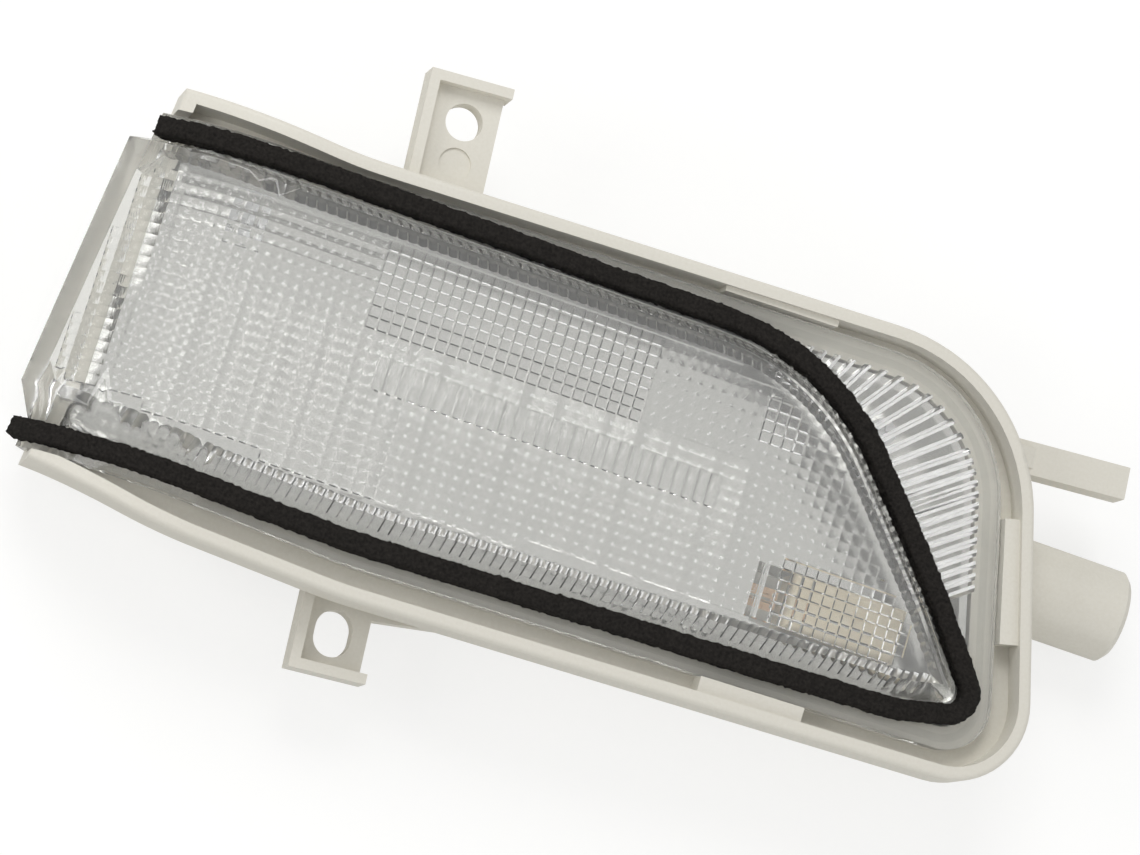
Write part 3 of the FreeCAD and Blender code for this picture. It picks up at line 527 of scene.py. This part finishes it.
print("kinds of field:", len(FIELDS))

# %% [markdown]
# A cushion is kept only where all of it lies inside the fluted walls, with a
# small border. One with fewer than two neighbours is left out, so that the edge
# of the field has no lone teeth. What is left over is closed with flat faces.

# %% Which pillows fit inside the walls
BORDER = 0.12
COLUMNS = range(-46, 36)
ROWS = range(-14, 12)
NEIGHBOURS = ((1, 0), (-1, 0), (0, 1), (0, -1))
rim = [v.co.xy for v in rows[-1]]


def inside(spot):
    """Is a place, seen from above, within the fluted walls?"""
    hit = False
    for a, b in zip(rim, rim[1:] + rim[:1]):
        if (a.y > spot.y) != (b.y > spot.y):
            crossing = a.x + (b.x - a.x) * (spot.y - a.y) / (b.y - a.y)
            if spot.x < crossing:
                hit = not hit
    return hit


def column_x(count):
    """X of a line between columns; past the bend it is measured round the arc."""
    x = count * PILLOW_X
    if x < BEND_START:
        radius = CEILING - BEND_AXIS_Z
        x = BEND_START - radius * math.sin((BEND_START - x) / radius)
    return x


cells = set()
for i in COLUMNS:
    for j in ROWS:
        corners = [Vector((column_x(i + a) + dx, (j + b) * PILLOW_Y + dy))
                   for a, dx in ((0, -BORDER), (1, BORDER))
                   for b, dy in ((0, -BORDER), (1, BORDER))]
        if all(inside(c) for c in corners):
            cells.add((i, j))
lonely = {c for c in cells
          if sum((c[0] + a, c[1] + b) in cells for a, b in NEIGHBOURS) < 2}
cells -= lonely
print("pillows:", len(cells))

# %% [markdown]
# The points on the lines between cushions are made once and shared, and each
# takes the shallowest of the cushions round it, so neighbours meet without a
# gap. Points that fell together at the corners of the walls are merged, and then
# the strip between the walls and the cushions is filled, which closes the lens.

# %% Raise the pillows
LINES = len(CELL_LINES)
grid = {}


def grid_point(i, j, a, b):
    """The vertex on line a of column i and line b of row j, made once."""
    key = (i * LINES + a, j * LINES + b)
    if key not in grid:
        i, a = divmod(key[0], LINES)
        j, b = divmod(key[1], LINES)
        u, v = CELL_LINES[a], CELL_LINES[b]
        x = column_x(i + u)
        y = (j + v) * PILLOW_Y
        around = [(i - (a == 0) * p, j - (b == 0) * q) for p in (0, 1) for q in (0, 1)]
        if all(c in cells for c in around):
            depths = []
            for c in around:
                middle_x = (column_x(c[0]) + column_x(c[0] + 1)) / 2
                kind = pillow_kind(middle_x, (c[1] + 0.5) * PILLOW_Y)
                depths.append(kind(u if c[0] == i else 1.0, v if c[1] == j else 1.0))
            sink = min(depths)
        else:
            sink = 0
        grid[key] = mesh.verts.new((x, y, CEILING - sink))
    return grid[key]


for i, j in sorted(cells):
    for a in range(LINES):
        for b in range(LINES):
            mesh.faces.new([grid_point(i, j, a, b), grid_point(i, j, a, b + 1),
                            grid_point(i, j, a + 1, b + 1), grid_point(i, j, a + 1, b)])
bmesh.ops.remove_doubles(mesh, verts=rows[-1], dist=MERGE)
bpy.ops.mesh.select_all(action="DESELECT")
mesh.edges.index_update()
for edge in mesh.edges:
    if edge.is_boundary:
        edge.select_set(True)
bmesh.update_edit_mesh(clear_lens.data)
bpy.ops.mesh.fill(use_beauty=True)
mesh = bmesh.from_edit_mesh(clear_lens.data)
print("open edges left:", sum(not e.is_manifold for e in mesh.edges), "faces:", len(mesh.faces))

# %% [markdown]
# The faces are turned outwards, and the flat lens is bent back round the end of
# the mirror and brought to metres. It then stands in for the lens of the frame.

# %% Bend the lens back
bpy.ops.mesh.select_all(action="SELECT")
bpy.ops.mesh.normals_make_consistent(inside=False)
bpy.ops.object.mode_set(mode="OBJECT")
for vertex in clear_lens.data.vertices:
    vertex.co = bent(vertex.co) * MM
clear_lens.data.update()
clear_lens.data.materials.clear()
clear_lens.data.materials.append(acrylic)
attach(clear_lens, "root")
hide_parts("lens")
print("lens triangles:", sum(len(p.vertices) - 2 for p in clear_lens.data.polygons))


# %% [markdown]
# The seal is a cord of black foam, laid by hand, so it is not quite straight and
# its skin is a field of torn cells. A copy of its solid is remeshed into small
# even faces, its edges are rounded by a smoothing modifier, and then every point
# is moved a little: slowly along the cord for the hand-laid line, and quickly
# from place to place for the cells. The noise is given a seed, because without
# one it takes its offsets from the clock and each run would differ.

# %% Foam cord
FOAM_VOXEL = 0.3
FOAM_ROUNDING = 3
ROUNDING_FACTOR = 0.5
CELL_SIZE = 0.62
CELL_DEPTH = 0.26
FINE_RATIO = 2.3
FINE_SHARE = 0.5
SWELL = 0.1
CORD_FLOOR = 20.22
WANDER = 0.12
WANDER_LENGTH = 11.0
NOISE_SEED = 7

foam_cord = bpy.data.objects.new("foam_cord", nodes["gasket"].data.copy())
bpy.context.scene.collection.objects.link(foam_cord)
foam_cord.data.transform(Matrix.Scale(1 / MM, 4))
deselect_all()
bpy.context.view_layer.objects.active = foam_cord
foam_cord.select_set(True)
bpy.ops.object.mode_set(mode="EDIT")
bpy.ops.mesh.select_all(action="SELECT")
bpy.ops.mesh.remove_doubles(threshold=MERGE)
bpy.ops.object.mode_set(mode="OBJECT")
remesh = foam_cord.modifiers.new("even_faces", "REMESH")
remesh.mode = "VOXEL"
remesh.voxel_size = FOAM_VOXEL
bpy.ops.object.modifier_apply(modifier=remesh.name)
rounding = foam_cord.modifiers.new("rounding", "SMOOTH")
rounding.factor = ROUNDING_FACTOR
rounding.iterations = FOAM_ROUNDING
bpy.ops.object.modifier_apply(modifier=rounding.name)
noise.seed_set(NOISE_SEED)
normals = [v.normal.copy() for v in foam_cord.data.vertices]
for vertex, normal in zip(foam_cord.data.vertices, normals):
    spot = vertex.co.copy()
    drift = noise.noise_vector(spot / WANDER_LENGTH) * WANDER
    fine = noise.noise(spot * FINE_RATIO / CELL_SIZE)
    torn = noise.noise(spot / CELL_SIZE) + FINE_SHARE * fine
    moved = laid_flat(spot + Vector((drift.x, drift.y, 0)) + normal * (CELL_DEPTH * torn + SWELL))
    moved.z = max(moved.z, CORD_FLOOR)
    vertex.co = bent(moved)
foam_cord.data.transform(Matrix.Scale(MM, 4))
bpy.ops.object.shade_smooth()
foam_cord.data.materials.clear()
foam_cord.data.materials.append(foam)
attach(foam_cord, "root")
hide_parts("gasket")
print("foam faces:", len(foam_cord.data.polygons))


# %% [markdown]
# The dressed lamp has to stay within the size of the solids.


print("lamp dressed")
